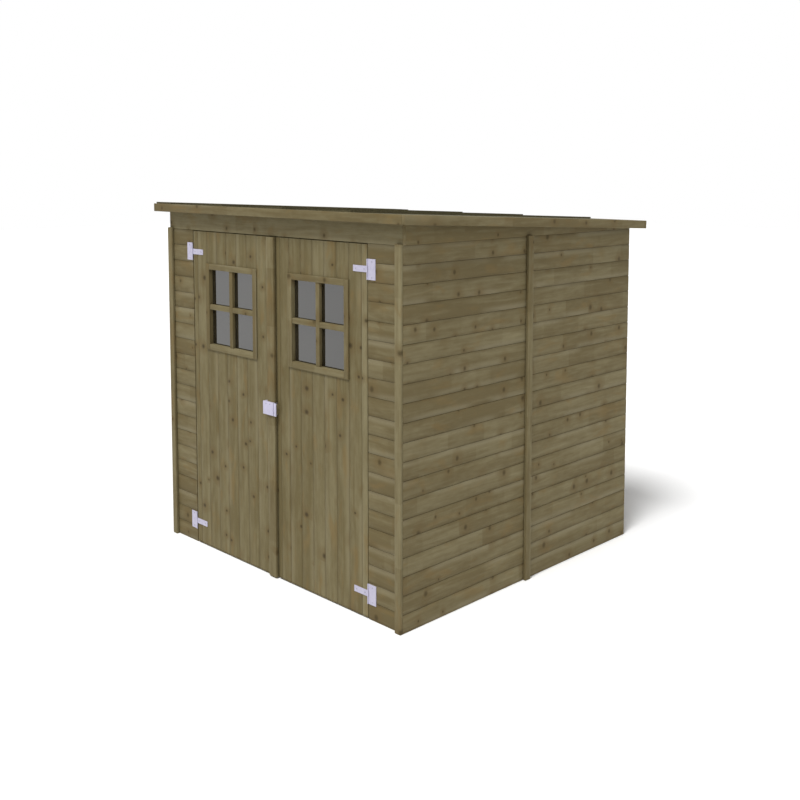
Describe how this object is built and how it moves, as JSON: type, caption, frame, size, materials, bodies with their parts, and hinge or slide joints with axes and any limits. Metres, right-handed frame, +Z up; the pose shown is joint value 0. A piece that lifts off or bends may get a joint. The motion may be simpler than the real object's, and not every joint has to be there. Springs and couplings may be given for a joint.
{
  "type": "wooden garden shed",
  "caption": "Garden shed of shiplap boards with a felted lean-to roof and a pair of outward-opening boarded doors with glazed windows, tee hinges and a lock.",
  "frame": {"origin": "on the ground, under the middle of the roof's outline", "axes": "+X to the right for someone who faces the doors, +Y from the front to the back, +Z up"},
  "size_m": [2.04, 1.966, 1.9514],
  "materials": {
    "cladding_wood": "pressure-treated softwood, sawn and planed, olive brown",
    "door_wood": "pressure-treated softwood, sawn and planed, olive brown",
    "window_wood": "pressure-treated softwood, sawn and planed, olive brown",
    "trim_wood": "pressure-treated softwood, sawn and planed, olive brown",
    "frame_wood": "pressure-treated softwood, sawn and planed, olive brown",
    "roof_felt": "mineral-faced bitumen felt, dark brown-grey, rough",
    "hinge_metal": "white painted steel, satin",
    "lock_metal": "white painted steel, satin",
    "window_glass": "clear sheet glass, greyed by the dark room behind it"
  },
  "bodies": {
    "shed": {"front_left_cladding": "cladding_wood", "front_right_cladding": "cladding_wood", "left_front_cladding": "cladding_wood", "left_rear_cladding": "cladding_wood", "right_front_cladding": "cladding_wood", "right_rear_cladding": "cladding_wood", "back_left_cladding": "cladding_wood", "back_right_cladding": "cladding_wood", "front_top_board": "cladding_wood", "left_wedge_board": "cladding_wood", "right_wedge_board": "cladding_wood", "front_corner_trims": "trim_wood", "side_joint_trims": "trim_wood", "back_joint_trim": "trim_wood", "wall_bottom_rails": "frame_wood", "wall_top_rails": "frame_wood", "wall_studs": "frame_wood", "front_posts": "frame_wood", "front_header": "frame_wood", "door_sill": "frame_wood", "roof_purlins": "frame_wood", "roof_deck": "frame_wood", "front_fascia": "trim_wood", "back_fascia": "trim_wood", "left_barge_board": "trim_wood", "right_barge_board": "trim_wood", "roof_felt": "roof_felt", "hinge_plates": "hinge_metal"},
    "left_door": {"left_door_boards": "door_wood", "left_door_ledges": "frame_wood", "left_door_brace": "frame_wood", "left_window_stiles": "window_wood", "left_window_rails": "window_wood", "left_window_glass": "window_glass", "left_hinge_straps": "hinge_metal", "door_meeting_trim": "trim_wood", "lock_case": "lock_metal"},
    "right_door": {"right_door_boards": "door_wood", "right_door_ledges": "frame_wood", "right_door_brace": "frame_wood", "right_window_stiles": "window_wood", "right_window_rails": "window_wood", "right_window_glass": "window_glass", "right_hinge_straps": "hinge_metal", "lock_keeper": "lock_metal"}
  },
  "joints": [
    {"name": "left_door_hinge", "type": "hinge", "parent": "shed", "child": "left_door", "pos_m": [-0.719, -0.9255, 0.9], "axis": [0, 0, -1], "range_deg": [0, 150]},
    {"name": "right_door_hinge", "type": "hinge", "parent": "shed", "child": "right_door", "pos_m": [0.719, -0.9255, 0.9], "axis": [0, 0, 1], "range_deg": [0, 150]}
  ]
}
